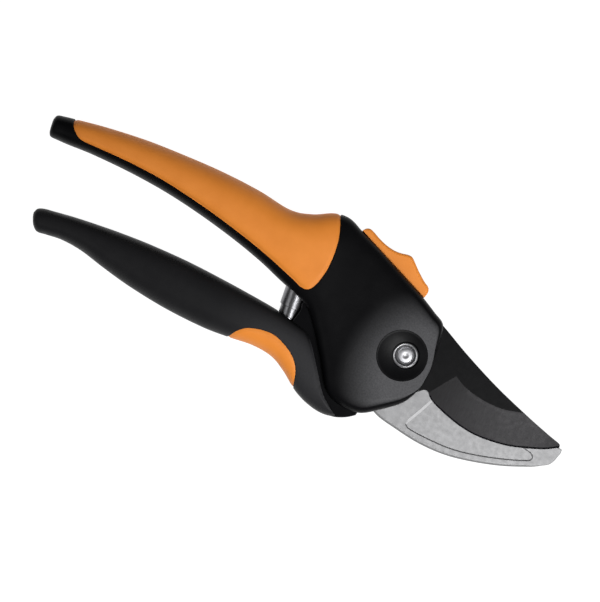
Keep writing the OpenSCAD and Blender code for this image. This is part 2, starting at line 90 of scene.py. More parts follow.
SPANS, ARCS = ((14, 56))

# Stations of a moulding: top edge x, y, bottom edge x, y, half thickness, squareness.
UPPER_STATIONS = [
    [-153.4, 16.2, -152.4, 10.7, 4.5, 2.6], [-152.7, 17.8, -151.4, 9.7, 6.6, 2.6],
    [-150, 18.7, -148.5, 9.8, 7.8, 2.6], [-145, 19.95, -144.5, 10.1, 8.4, 2.6],
    [-135, 22.3, -135, 11.1, 9, 2.5], [-120, 25, -120, 11.75, 9.6, 2.4],
    [-105, 26.7, -105, 11.5, 10.2, 2.4], [-90, 27.85, -90, 10.15, 10.7, 2.4],
    [-75, 28.05, -75, 7.95, 11, 2.5], [-62, 27.2, -63, 5.5, 11, 2.6],
    [-54, 29.5, -55, 3.3, 11, 2.8], [-47, 33.6, -47.5, 1.2, 10.9, 3.2],
    [-41, 34.6, -40, -1.6, 10.55, 4], [-34, 32.25, -33.8, -7.2, 10.3, 5],
    [-25, 29.3, -26.5, -15.8, 10.5, 6], [-15, 25.7, -19.7, -24.5, 11, 6],
    [-5, 22, -13, -27.2, 11.25, 6], [2, 18.9, -5, -26.4, 11.25, 6], [7, 16.2, 2, -21, 11.25, 6],
    [8.9, 9.4, 7.4, -15.4, 11.25, 6], [10.2, 2, 10, -9.4, 11.2, 6],
    [10.6, -2, 10.6, -5.4, 9.8, 5]]
LOWER_STATIONS = [
    [-143.9, -17.3, -143.1, -19.7, 3.6, 2.6], [-143.2, -15.6, -141.8, -21.8, 5.6, 2.6],
    [-141, -14.5, -139.6, -23.2, 6.8, 2.6], [-137, -13.6, -136, -22.6, 7.6, 2.6],
    [-130, -12.1, -130, -21.6, 8.4, 2.5], [-122, -10.7, -122, -21.8, 9, 2.4],
    [-112, -9.2, -112, -23.5, 9.6, 2.4], [-100, -7.85, -100, -25.1, 10.1, 2.4],
    [-85, -6.9, -85, -26, 10.5, 2.4], [-70, -6.75, -70, -25.65, 10.7, 2.4],
    [-59, -6.9, -60, -24.4, 10.7, 2.5], [-50, -7.2, -51, -22.9, 10.6, 2.6],
    [-42, -8, -43, -23.2, 10.4, 2.8], [-35, -9.2, -36.5, -25.9, 10.2, 3],
    [-27, -12, -29, -30.4, 10, 3], [-20, -16.5, -22, -32.6, 9.8, 3],
    [-13, -22, -15.5, -32.8, 9.6, 3], [-8, -26, -9, -30.3, 9.4, 3], [-6, -27, -6.4, -28.4, 9, 3]]

GRIP_EDGE = [[-146.5, 20.4], [-146.05, 18.2], [-145.1, 16.6], [-143.6, 15.25], [-141.8, 14.15],
             [-139.5, 13.75], [-134, 14.1], [-120, 14.9], [-105, 14.7], [-85, 12.6], [-65, 9.2],
             [-50, 5.5], [-45, 4.1], [-42, 5], [-40.2, 9.5], [-39.7, 17], [-41.2, 26],
             [-45, 34.8]]
CRESCENT_EDGE = [[-60.2, -24.6], [-58, -20.6], [-54, -17.5], [-46, -15.8], [-38, -18.4],
                 [-33, -23], [-30.4, -30.2]]
RIDGE_EDGE = [[-40, -4], [-35, -9.3], [-30, -14.7], [-25, -20.6], [-20, -26.3],
              [-15, -29.8], [-10, -32.4], [-4, -36]]
GRIP_CORE = [[-144, 12.6], [-143, 17], [-120, 21.5], [-100, 23.6], [-75, 24.6],
             [-60, 24], [-48, 28.5], [-38.5, 28], [-38.5, 2], [-48, 4], [-60, 7],
             [-75, 10], [-90, 12.1], [-105, 13.5], [-120, 13.7], [-135, 13]]
INLAY_CORE = [[-66, -12], [-66, -20.5], [-54, -19.4], [-42, -19.4], [-33, -24],
              [-27, -28.5], [-25.5, -24], [-33, -14.5], [-40, -12]]
CAVITY = [[-2.5, FAR], [-2.5, 18.2], [-15, 22.3], [-30, 27.4], [-36, 28.4], [-37, 27],
          [-37.5, 5], [-37.6, 1.2], [-42.6, 1.2], [-43.2, -2], [-46, -12],
          [-30, -50], [FAR, -50], [FAR, FAR]]
HOOK_JAW = [[-16, -1], [-13, -10], [-8, -18], [0, -23.7], [10, -25.4], [20, -26.1], [30, -25.3],
            [40, -22.8], [50, -19.2], [59, -14.8], [63, -12.2], [65.6, -10], [66.8, -6],
            [66.9, -4.2], [65.9, -3.5], [60, -4.8], [52, -8], [43, -10.6], [34, -11.3],
            [25, -10.3], [18, -8.2], [14, -5]]
HOOK_TANG = [[0, 0], [14, -5], [15, 3], [9, 12], [-4, 16], [-13, 21], [-15.5, 19.6], [-34, 11.5],
             [-36.6, 7], [-35, 2.5], [-28, 0], [-16, -1], [-13, -10]]
RELIEF = [[17.4, -9.4], [15.2, -15], [12.6, -21.4], [12.9, -22.3], [14, -22.8], [20, -22.9],
          [30, -22.2], [40, -19.8], [50, -16.2], [56, -13.5], [58, -12.4], [58.4, -11.4],
          [57.8, -10.5], [56, -10], [50, -9.6], [43, -12], [34, -12.8], [25, -11.8], [19.5, -9.4]]
BLADE_SPINE = [[-6, 14.5], [2, 17.2], [7, 16.1], [20, 10.8], [35, 5.5], [50, 1.3], [60, -1.1],
               [64.4, -2], [65.4, -2.6]]
BLADE_EDGE = [[65.6, -3.4], [60, -7], [50, -11.2], [42, -13.1], [35, -13.8], [28, -13.2],
              [21, -11.6], [16.2, -9.9], [14.2, -8.2]]
BLADE_HEEL = [[13.1, -7.5], [11.8, -8.1], [9.4, -10.3], [6, -12]]
BEVEL_TOP = [[20, 2], [25, 0], [30, -0.9], [35, -1.1], [41, -0.5], [48.5, 1.9],
             [57, 4.6], [70, 9]]
BEVEL_FOOT = [[13.4, -9], [20.6, -12.1], [27, -13.8], [34, -14.5], [41, -14.1], [49, -12.4],
              [58, -9], [66.4, -3.4]]
BLADE_TANG = [[-10, 11], [-16, 2], [-30, -9], [-31, -18], [-26, -20], [-14, -13], [-3, -15]]
NOTCH_R, NOTCH_FROM, NOTCH_TO = 11.4, 100, 156
NECK_INNER = [[190, 17], [199, 17.4], [206, 18.8], [214, 20], [222, 21.4], [234, 23], [246, 24.7],
              [258, 26.5]]
NECK_OUTER = [[-5.7, -27.7], [-8.6, -30.1], [-12.6, -32], [-17, -32.4], [-22, -31.3], [-32, -25],
              [-40, -18], [-42.4, -13], [-42.5, -10], [-41.9, -7], [-41.5, -4.5], [-41.5, -2.5],
              [-42, -1], [-41.3, -0.1], [-39.6, 0.2], [-37.6, 0], [-36, -0.8], [-34, -1.5],
              [-28, -2.5]]
SCREWS = [[-13, 17.3], [-30.7, 6.2], [-35.5, 23]]
CORNER = SCREWS[2]                    # the one that doesn't stand on the hook
SCREW_R, SCREW_GAP, SCREW_BOSS_R, CORNER_BOSS_R = 1.5, 0.2, 3.1, 3.4
SLOT_HALF = [1.7, 0.35]               # one arm of a screw's cross recess
SLOT_TURNS, SLOT_TOP = [20, 110], 1.7

# The lock slides along a rail that lies tilted in the housing's top edge.
SLIDE_TILT = radians(-19.5)
LOCK_TRAVEL, LOCK_W = 6, 10
RAIL_FROM, RAIL_TO, RAIL_FOOT, RAIL_TOP, RAIL_W = -43.8, -10.9, 18, 19.27, 8.4
STEM_FROM, STEM_TO, STEM_FOOT, STEM_TOP, STEM_W = -31.5, -23, 12, 20, 4.4
PLATE_SLOT = [[-30, 10], [-30, 15.6], [-24, 15.6], [-24, 10]]     # for the steel plate
PLATE_LOW, PLATE_HIGH = 11.2, 13.8
BUTTON = [[-43.9, 19.3], [-43.5, 20.8], [-42.4, 21.75], [-40.5, 21.95], [-37.5, 21.85],
          [-34, 22.1], [-31, 22.8], [-28.6, 23.9], [-26.4, 25.4], [-25.2, 25.95], [-24.2, 26],
          [-22.8, 25.6], [-19, 24.3], [-15, 23.3], [-13, 23.05], [-11.9, 22.5], [-11.1, 21.3],
          [-10.8, 19.3]]

# The spring's axis lies across the tool; its radius shrinks by SPRING_STEP on each turn.
SPRING_SPOT, SPRING_LEAN, SPRING_HALF = [-44.8, -3.6], radians(9), 9.6
SPRING_R, SPRING_STEP, SPRING_TURNS, STRIP_W, STRIP_T = 4.75, 0.52, 3.5, 8.0, 0.4
POCKET_R, COLLAR_R, COLLAR_TOP = 5.4, 5.05, 5.0
POCKET_GAP = 0.3                      # room beyond each end of the spring
POST_R, POST_H, POST_SUNK, POST_EASE = 2.3, 4, 0.5, 0.4

BUSHING_R, BOLT_R, NUT_R, DISH_R, DISH_DEPTH = 4.5, 3.0, 4.65, 9.4, 2.4
BOLT_FIT, DRILL_GAP, NUT_GAP = 0.05, 0.1, 0.15
SOCKET_R, SOCKET_TOP = 2.3, 2.1
NUT_LOW = 17.4
NUT_MOUTH_R = NUT_R + 0.55            # the nut's pocket, where it opens into the dish
WASHER_R, BOSS_LOW, BOSS_TOP = 8.6, 14.6, 20
DISH_SPOT = [-1.15, -0.6]
RELIEF_D, EDGE_T = 0.6, 0.25
HOOK_HUB_R, BLADE_HUB_R, NOTCH_REACH = 16, 13.4, 24
SEAM_R = 0.32                         # groove where two materials meet

# Profiles of turned parts and cuts: radius, height.
BOLT_PROFILE = [
    (0, 0.4), (4.9, 0.4), (5.25, 0.55), (5.4, 0.9), (5.4, 3), (3, 3), (3, 20.6), (2.8, 20.9),
    (2.5, 21.22), (2.1, 21.34), (1.4, 21.42), (1.0, 21.4), (0.7, 21.24), (0, 21.16)]
NUT_PROFILE = [
    (3.02, 17.4), (4.5, 17.4), (4.65, 17.6), (4.65, 20.3), (4.58, 20.65), (4.4, 20.9),
    (4.15, 21), (3.95, 20.93), (3.8, 20.7), (3.72, 20.4), (3.4, 20.15), (3.02, 20.15)]
NUT_GROOVE_R = 3.72
SCREW_PROFILE = [(0, 0.7), (2.2, 0.75), (2.65, 0.95), (2.9, 1.35), (2.9, 2.6), (1.5, 2.6),
                 (1.5, 15.2), (1.1, 15.6), (0, 15.6)]
NUT_POCKET = [(0, NUT_LOW), (NUT_R + NUT_GAP, NUT_LOW), (NUT_R + NUT_GAP, 19.9),
              (NUT_MOUTH_R, 20.6), (NUT_MOUTH_R, 24), (0, 24)]
BOLT_POCKET = [(0, -1), (6.9, -1), (6.4, 0.4), (6, 0.8), (6, 3.8), (0, 3.8)]
SCREW_POCKET = [(0, -1), (4, -1), (3.5, 0.3), (3.2, 0.7), (3.2, 2.6), (0, 2.6)]


# ---------------------------------------------------------------- curves and meshes
def curve(points, n, closed=False):
    """A smooth curve through points, with n steps on each span."""
    p = np.asarray(points, float)
    count = len(p) if closed else len(p) - 1
    t = np.arange(n)[:, None] / n
    out = []
    for i in range(count):
        if closed:
            a, b, c, d = (p[(i + k) % len(p)] for k in (-1, 0, 1, 2))
        else:
            a, b, c, d = p[max(i - 1, 0)], p[i], p[i + 1], p[min(i + 2, len(p) - 1)]
        out.append(0.5 * (2 * b + (c - a) * t + (2 * a - 5 * b + 4 * c - d) * t ** 2
                          + (3 * b - a - 3 * c + d) * t ** 3))
    if not closed:
        out.append(p[-1:])
    return np.concatenate(out)


def add(name, points, faces):
    """A mesh object from points in millimetres."""
    mesh = bpy.data.meshes.new(name)
    mesh.from_pydata((np.asarray(points, float) * MM).tolist(), [], faces)
    mesh.validate()
    piece = bpy.data.objects.new(name, mesh)
    bpy.context.scene.collection.objects.link(piece)
    return piece


def outward(piece):
    """Turn all faces of a closed mesh outwards."""
    work = bmesh.new()
    work.from_mesh(piece.data)
    bmesh.ops.recalc_face_normals(work, faces=work.faces)
    work.to_mesh(piece.data)
    work.free()
    return piece


def stack(name, rings):
    """A closed solid through rings of equal length, each an array of points."""
    m = len(rings[0])
    faces = [[i * m + k, i * m + (k + 1) % m, (i + 1) * m + (k + 1) % m, (i + 1) * m + k]
             for i in range(len(rings) - 1) for k in range(m)]
    faces += [list(range(m))[::-1], [(len(rings) - 1) * m + k for k in range(m)]]
    return outward(add(name, np.concatenate(rings), faces))


def at_level(outline, z):
    """An outline's points at one height."""
    outline = np.asarray(outline, float)
    return np.column_stack([outline[:, 0], outline[:, 1], np.full(len(outline), z)])


def prism(outline, low, high):
    """An upright solid with an outline's plan."""
    return stack("cutter", [at_level(outline, low), at_level(outline, high)])


def oblong(left, right, foot, top):
    """The outline of a rectangle."""
    return [[left, foot], [right, foot], [right, top], [left, top]]


def polar(degrees, r):
    """A point by its direction from the pivot and its distance."""
    return [r * cos(radians(degrees)), r * sin(radians(degrees))]


def counter_clockwise(outline):
    """An outline's points, turned round if they run clockwise."""
    p = np.asarray(outline, float)
    q = np.roll(p, -1, axis=0)
    return p if np.sum(p[:, 0] * q[:, 1] - p[:, 1] * q[:, 0]) > 0 else p[::-1].copy()


def inset(outline, distance):
    """A counter-clockwise outline moved inwards, by one distance or one for each point."""
    before, after = outline - np.roll(outline, 1, axis=0), np.roll(outline, -1, axis=0) - outline
    normals = []
    for edge in (before, after):
        length = np.maximum(np.linalg.norm(edge, axis=1, keepdims=True), 1e-9)
        normals.append(np.column_stack([-edge[:, 1], edge[:, 0]]) / length)
    middle = normals[0] + normals[1]
    middle /= np.maximum(np.linalg.norm(middle, axis=1, keepdims=True), 1e-9)
    miter = np.maximum(np.sum(middle * normals[0], axis=1), 0.5)
    return outline + middle * (np.broadcast_to(distance, len(outline)) / miter)[:, None]


def plate(name, outline, low, high, round_low, round_high, steps=4):
    """A flat solid whose two rims are rounded, by one radius or one for each point."""
    outline = counter_clockwise(outline)
    rings = []
    for r, z, way in ((np.asarray(round_low), low, 1), (np.asarray(round_high), high, -1)):
        turns = [pi / 2 * k / steps for k in range(steps + 1)]
        for a in turns if way > 0 else turns[::-1]:
            flat = inset(outline, r * (1 - sin(a)))
            rings.append(np.column_stack([flat, np.full(len(flat), z) + way * r * (1 - cos(a))]))
    return stack(name, rings)


def lathe(name, profile, at=(0, 0), sides=96):
    """A solid of revolution about a line along Z; profile runs from axis to axis."""
    turn = np.arange(sides) * 2 * pi / sides
    rings = [np.column_stack([at[0] + max(r, 1e-4) * np.cos(turn),
                              at[1] + max(r, 1e-4) * np.sin(turn), np.full(sides, z)])
             for r, z in profile]
    return stack(name, rings)


def ring_lathe(name, profile, sides=96):
    """A ring about the pivot's axis; profile is a closed outline of radius and height."""
    m, turn = len(profile), np.arange(sides) * 2 * pi / sides
    points = [[r * cos(a), r * sin(a), z] for a in turn for r, z in profile]
    faces = [[i * m + k, i * m + (k + 1) % m, (i + 1) % sides * m + (k + 1) % m,
              (i + 1) % sides * m + k] for i in range(sides) for k in range(m)]
    return outward(add(name, points, faces))


def closed_tube(name, path, r, sides=10):
    """A round tube along a closed path of 3-D points."""
    path = np.asarray(path, float)
    ahead = np.roll(path, -1, axis=0) - np.roll(path, 1, axis=0)
    ahead /= np.linalg.norm(ahead, axis=1, keepdims=True)
    side = np.cross(ahead, [0, 0, 1])
    upright = np.linalg.norm(side, axis=1) < 0.2
    side[upright] = np.cross(ahead[upright], [1, 0, 0])
    frames = [side[0] / np.linalg.norm(side[0])]
    for way in ahead[1:]:
        last = frames[-1] - way * np.dot(frames[-1], way)
        frames.append(last / np.linalg.norm(last))
    rings = []
    for p, way, s in zip(path, ahead, frames):
        up = np.cross(way, s)
        rings.append([p + r * (cos(2 * pi * k / sides) * s + sin(2 * pi * k / sides) * up)
                      for k in range(sides)])
    m, n = sides, len(rings)
    faces = [[i * m + k, i * m + (k + 1) % m, (i + 1) % n * m + (k + 1) % m, (i + 1) % n * m + k]
             for i in range(n) for k in range(m)]
    return outward(add(name, np.concatenate(rings), faces))


def bake(piece):
    """Put the result of a piece's modifiers in place of its mesh."""
    bpy.context.view_layer.update()
    shaped = piece.evaluated_get(bpy.context.evaluated_depsgraph_get())
    mesh = bpy.data.meshes.new_from_object(shaped)
    piece.modifiers.clear()
    old, piece.data = piece.data, mesh
    bpy.data.meshes.remove(old)
    return piece


def combine(piece, other, operation="DIFFERENCE"):
    """Cut piece by other, join them or keep what they share; other is used up."""
    step = piece.modifiers.new("step", "BOOLEAN")
    step.operation = operation
    step.solver = "MANIFOLD"
    step.object = other
    bake(piece)
    if len(piece.data.polygons) < 4:
        raise SystemExit(f"{piece.name} vanished in a {operation.lower()}")
    bpy.data.objects.remove(other)
    return piece


def finish_mesh(piece, angle=32):
    """Weld stray points, then smooth all but the real edges."""
    work = bmesh.new()
    work.from_mesh(piece.data)
    bmesh.ops.remove_doubles(work, verts=work.verts, dist=0.002 * MM)
    bmesh.ops.dissolve_degenerate(work, edges=work.edges, dist=0.001 * MM)
    work.to_mesh(piece.data)
    work.free()
    piece.data.shade_smooth()
    piece.data.set_sharp_from_angle(angle=radians(angle))
    weigh = piece.modifiers.new("weigh", "WEIGHTED_NORMAL")
    weigh.mode = "FACE_AREA"
    weigh.weight = 50
    weigh.keep_sharp = True
    return bake(piece)


# ---------------------------------------------------------------- mouldings
def section(rows, angles, draw_in=None):
    """Points round each station's section, at angles from its top edge."""
    c, s = np.cos(angles), np.sin(angles)
    power = 2 / rows[:, 5:6]
    across = (1 - np.sign(c) * np.abs(c) ** power) / 2
    if draw_in is not None:
        chord = np.linalg.norm(rows[:, 2:4] - rows[:, 0:2], axis=1, keepdims=True)
        across = across + np.sign(c) * draw_in / chord
    height = np.sign(s) * np.abs(s) ** power * rows[:, 4:5]
    x = rows[:, 0:1] + (rows[:, 2:3] - rows[:, 0:1]) * across
    y = rows[:, 1:2] + (rows[:, 3:4] - rows[:, 1:2]) * across
    return np.stack([x, y, MID + height], axis=2)


def half_moulding(name, stations, side, seam=0.22):
    """The front (side 1) or rear (side -1) half, chamfered along the parting line."""
    rows = curve(stations, SPANS)
    angles = np.concatenate([[0], np.linspace(0, pi, ARCS + 1)[1:-1], [pi]])
    draw_in = np.zeros(len(angles))
    draw_in[[0, -1]] = seam
    rings = section(rows, angles * side, draw_in)
    return stack(name, list(rings))


def whole_moulding(name, stations):
    """A moulding in one piece, front and rear."""
    rows = curve(stations, SPANS)
    angles = np.arange(2 * ARCS) * pi / ARCS
    return stack(name, list(section(rows, angles)))


def surface_height(stations, spots):
    """Half thickness of a moulding over each spot, and 0 outside it."""
    rows = curve(stations, 24)
    spots = np.asarray(spots, float)
    out = np.zeros(len(spots))
    tops, chords = rows[:, 0:2], rows[:, 2:4] - rows[:, 0:2]
    for i, p in enumerate(spots):
        rel = p - tops
        turn = chords[:, 0] * rel[:, 1] - chords[:, 1] * rel[:, 0]
        change = np.flatnonzero(turn[:-1] * turn[1:] <= 0)
        for k in change:
            t = turn[k] / (turn[k] - turn[k + 1] + 1e-12)
            row = rows[k] * (1 - t) + rows[k + 1] * t
            chord = row[2:4] - row[0:2]
            u = np.dot(p - row[0:2], chord) / np.dot(chord, chord)
            if 0 <= u <= 1:
                s = abs(2 * u - 1)
                out[i] = row[4] * max(1 - s ** row[5], 0) ** (1 / row[5])
    return out


def seam_loop(stations, edge, step=0.5):
    """The closed 3-D line where the upright wall over an edge meets a moulding."""
    fine = curve(edge, 100)
    height = surface_height(stations, fine)
    inside = np.flatnonzero(height > 0)
    fine, height = fine[inside[0]:inside[-1] + 1], height[inside[0]:inside[-1] + 1]
    height = np.minimum(height, MID)
    front = np.column_stack([fine, MID + height])
    rear = np.column_stack([fine, MID - height])[::-1]
    loop = np.concatenate([front, rear])
    loop = np.concatenate([loop, loop[:1]])
    run = np.concatenate([[0], np.cumsum(np.linalg.norm(np.diff(loop, axis=0), axis=1))])
    count = int(run[-1] / step)
    places = np.arange(count) * run[-1] / count
    return np.column_stack([np.interp(places, run, loop[:, k]) for k in range(3)])


def distance_to(points, line, batch=4000):
    """Distance in plan from each point to the nearest point of a fine line."""
    line = np.asarray(line)
    out = np.empty(len(points))
    for i in range(0, len(points), batch):
        part = points[i:i + batch, None, :] - line[None, :, :]
        out[i:i + batch] = np.sqrt(np.min(np.sum(part * part, axis=2), axis=1))
    return out


def roll_edge(piece, edge, width, drop):
    """Round a moulding's surface down where it comes within width of an edge."""
    mesh = piece.data
    n = len(mesh.vertices)
    points, normals = np.empty(3 * n), np.empty(3 * n)
    mesh.vertices.foreach_get("co", points)
    mesh.vertices.foreach_get("normal", normals)
    points, normals = points.reshape(-1, 3) / MM, normals.reshape(-1, 3)
    near = distance_to(points[:, :2], curve(edge, 40))
    t = 1 - np.clip(near / width, 0, 1)
    points -= normals * (drop * t ** 2)[:, None]
    mesh.vertices.foreach_set("co", (points * MM).ravel())
    mesh.update()
    return piece


def seam_groove(stations, edge):
    """The cutter of the groove along an edge, all round a moulding."""
    return closed_tube("cutter", seam_loop(stations, edge), SEAM_R)


def grip_region():
    """The plan of the soft grip; it runs on past the handle's top."""
    start, end = GRIP_EDGE[0][0], GRIP_EDGE[-1][0]
    return np.concatenate([curve(GRIP_EDGE, 24), [[end, FAR], [start, FAR]]])


def crescent_region():
    """The plan of the inlay; its sides spread a little below the handle."""
    return np.concatenate([curve(CRESCENT_EDGE, 24), [[-30, -FAR], [-61, -FAR]]])


def ridge_region():
    """The plan of what is cut off the lower handle in front of its ridge."""
    top = 20
    start, end = RIDGE_EDGE[0][0], RIDGE_EDGE[-1][1]
    return np.concatenate([curve(RIDGE_EDGE, 16), [[FAR, end], [FAR, top], [start, top]]])


def spring_matrix():
    """From a spring that stands on Z about the origin to its place across the tool."""
    return (Matrix.Translation(Vector((SPRING_SPOT[0], SPRING_SPOT[1], MID)) * MM)
            @ Matrix.Rotation(SPRING_LEAN, 4, "Z") @ Matrix.Rotation(-pi / 2, 4, "X"))


def place(piece, matrix):
    """Move a piece's mesh by a matrix."""
    piece.data.transform(matrix)
    return piece


def in_lock_frame(piece):
    """Turn a piece from the lock's own axes into the tool's."""
    return place(piece, Matrix.Rotation(SLIDE_TILT, 4, "Z"))


def rod(r, low, high, at=(0, 0), sides=96):
    """A round rod along Z."""
    return lathe("rod", [(0, low), (r, low), (r, high), (0, high)], at, sides)


def upper_pocket():
    """The hole in the housing that takes one end of the spring."""
    return place(rod(POCKET_R, 0, SPRING_HALF + POCKET_GAP), spring_matrix())


def lower_pocket():
    """The hole in the lower handle that takes the other end, less the post that centres it."""
    hole = place(rod(COLLAR_R, -SPRING_HALF - POCKET_GAP, COLLAR_TOP), spring_matrix())
    low, high = -SPRING_HALF - POST_SUNK, -SPRING_HALF + POST_H
    post = lathe("post", [(0, low), (POST_R - POST_EASE, low), (POST_R, low + POST_EASE),
                          (POST_R, high - POST_EASE), (POST_R - POST_EASE, high), (0, high)])
    return combine(hole, place(post, spring_matrix()))


def own_side(side, low, high):
    """A range of heights, cut off at the parting plane for one shell."""
    return (MID, high) if side > 0 else (low, MID)


def shell(name, side):
    """One housing shell with its handle, before the parts of its own side."""
    body = half_moulding(name, UPPER_STATIONS, side)
    hair = 0.01       # keeps the parting face whole
    low, high = (MID - hair, TOOL_T) if side > 0 else (0, MID + hair)
    combine(body, prism(oblong(BACK, FAR, -FAR, FAR), low, high), "INTERSECT")
    combine(body, prism(grip_region(), -OVER, TOOL_T + OVER))
    combine(body, prism(CAVITY, CAVITY_LOW, CAVITY_HIGH))
    combine(body, prism(GRIP_CORE, *own_side(side, CORE_LOW, CORE_HIGH)), "UNION")
    rail = prism(oblong(RAIL_FROM, RAIL_TO, RAIL_FOOT, RAIL_TOP),
                 *own_side(side, MID - RAIL_W / 2, MID + RAIL_W / 2))
    combine(body, in_lock_frame(rail), "UNION")
    combine(body, seam_groove(UPPER_STATIONS, GRIP_EDGE))
    combine(body, upper_pocket())
    half = STEM_W / 2 + LOOSE
    window = prism(oblong(STEM_FROM - LOCK_TRAVEL - GAP, STEM_TO + GAP, STEM_FOOT, FAR),
                   MID - half, MID + half)
    return combine(body, in_lock_frame(window))


def dish_profile():
    """The cut of the dish: a ball's underside, then a rounded lip that runs off upwards."""
    lip, flare, clear = 0.5, 0.3, 3
    just_under = 0.999                # ends the lip a hair below the housing's face
    ball = (DISH_R ** 2 + DISH_DEPTH ** 2) / (2 * DISH_DEPTH)
    middle = TOOL_T - DISH_DEPTH + ball
    dish = [(r, middle - sqrt(ball ** 2 - r ** 2)) for r in np.linspace(0, DISH_R - lip, 24)]
    lip_low = dish[-1][1]
    dish += [(DISH_R - lip + lip * sin(a), lip_low + (TOOL_T - lip_low) * (1 - cos(a)) * just_under)
             for a in np.linspace(0, pi / 2, 7)[1:]]
    return dish + [(DISH_R + flare, TOOL_T + 0.25), (DISH_R + flare, TOOL_T + clear),
                   (0, TOOL_T + clear)]


def make_front_shell():
    """The front shell, with its bosses, the dish round the pivot and the nut's pocket."""
    body = shell("front_housing", 1)
    combine(body, rod(WASHER_R + WALL, BOSS_LOW, BOSS_TOP), "UNION")
    rim, ease = DISH_R + WALL, 0.3
    collar = lathe("collar", [(0, CAVITY_HIGH), (rim, CAVITY_HIGH), (rim, TOOL_T - ease),
                              (rim - ease, TOOL_T), (0, TOOL_T)], DISH_SPOT)
    combine(body, collar, "UNION")
    for spot in SCREWS:
        foot = MID if spot is CORNER else HOOK_HIGH
        combine(body, rod(SCREW_BOSS_R, foot, CAVITY_HIGH + OVER, spot), "UNION")
    combine(body, lathe("cutter", dish_profile(), DISH_SPOT, 160))
    combine(body, rod(BOLT_R + DRILL_GAP, 0, TOOL_T))
    combine(body, lathe("cutter", NUT_POCKET))
    return finish_mesh(body)


def make_rear_shell():
    """The rear shell, with pockets for the bolt's head and the screws' heads."""
    body = shell("rear_housing", -1)
    combine(body, rod(CORNER_BOSS_R, CAVITY_LOW - OVER, MID, CORNER), "UNION")
    combine(body, rod(BOLT_R + DRILL_GAP, -OVER, MID))
    combine(body, lathe("cutter", BOLT_POCKET))
    for spot in SCREWS:
        combine(body, rod(SCREW_R + SCREW_GAP, -OVER, MID + OVER, spot))
        combine(body, lathe("cutter", SCREW_POCKET, spot))
    return finish_mesh(body)


def make_upper_grip():
    """The soft grip, hollow for the bar that it is moulded round."""
    body = whole_moulding("soft_upper_grip", UPPER_STATIONS)
    roll_edge(body, GRIP_EDGE, width=1.6, drop=0.55)
    combine(body, prism(grip_region(), 0, TOOL_T), "INTERSECT")
    combine(body, prism(GRIP_CORE, CORE_LOW, CORE_HIGH))
    combine(body, upper_pocket())
    combine(body, seam_groove(UPPER_STATIONS, GRIP_EDGE))
    return finish_mesh(body)


def make_lower_handle():
    """The lower handle, with the thin neck that holds the blade inside the housing."""
    body = whole_moulding("lower_handle_body", LOWER_STATIONS)
    roll_edge(body, RIDGE_EDGE, width=1.1, drop=0.55)
    combine(body, prism(ridge_region(), -OVER, TOOL_T + OVER))
    combine(body, prism(crescent_region(), -OVER, TOOL_T + OVER))
    inner = [polar(*spot) for spot in NECK_INNER]
    neck = plate("neck", np.concatenate([inner, curve(NECK_OUTER, 8)]), NECK_LOW, NECK_HIGH,
                 round_low=0.5, round_high=0.5)
    combine(body, neck, "UNION")
    combine(body, prism(INLAY_CORE, CORE_LOW, CORE_HIGH), "UNION")
    combine(body, prism(BLADE_TANG, BLADE_LOW, BLADE_HIGH))
    combine(body, lower_pocket())
    combine(body, seam_groove(LOWER_STATIONS, CRESCENT_EDGE))
    return finish_mesh(body)


def make_lower_inlay():
    """The soft crescent under the finger stop."""
    body = whole_moulding("soft_lower_inlay", LOWER_STATIONS)
    roll_edge(body, CRESCENT_EDGE, width=1.2, drop=0.4)
    combine(body, prism(crescent_region(), 0, TOOL_T), "INTERSECT")
    combine(body, prism(INLAY_CORE, CORE_LOW, CORE_HIGH))
    combine(body, prism(NECK_OUTER, NECK_LOW, NECK_HIGH))
    combine(body, seam_groove(LOWER_STATIONS, CRESCENT_EDGE))
    return finish_mesh(body)


# ---------------------------------------------------------------- metal parts
def make_hook():
    """The hook: its rim is rounder towards its belly, and its face has a shallow relief."""
    outline = counter_clockwise(curve(HOOK_JAW, 12, closed=True))
    belly_x, taper, start, rise = 20, 0.32, 2, 6
    belly = np.clip((-outline[:, 1] - taper * np.abs(outline[:, 0] - belly_x) + start) / rise,
                    0, 1)
    rim = 0.25 + 0.75 * belly
    body = plate("hook_jaw", outline, HOOK_LOW, HOOK_HIGH, rim, rim, steps=8)
    combine(body, prism(HOOK_TANG, HOOK_LOW + SINK, HOOK_HIGH - SINK), "UNION")
    combine(body, rod(HOOK_HUB_R, HOOK_LOW + 2 * SINK, HOOK_HIGH - 2 * SINK), "UNION")
    # The relief's wall leans back, and more so at its near end, away from the lower corner.
    foot = counter_clockwise(curve(RELIEF, 12, closed=True))
    near_x, corner_y = 19, -22.4
    near = np.clip((near_x - foot[:, 0]) / 3, 0, 1)
    lean = 0.45 + 0.5 * near * np.clip((foot[:, 1] - corner_y) / 2, 0, 1)
    relief = stack("cutter", [at_level(foot, HOOK_HIGH - RELIEF_D),
                              at_level(inset(foot, -lean), HOOK_HIGH),
                              at_level(inset(foot, -lean), HOOK_HIGH + OVER / 2)])
    combine(body, relief)
    combine(body, rod(BOLT_R + BOLT_FIT, 0, MID + OVER))
    return finish_mesh(body, angle=14)


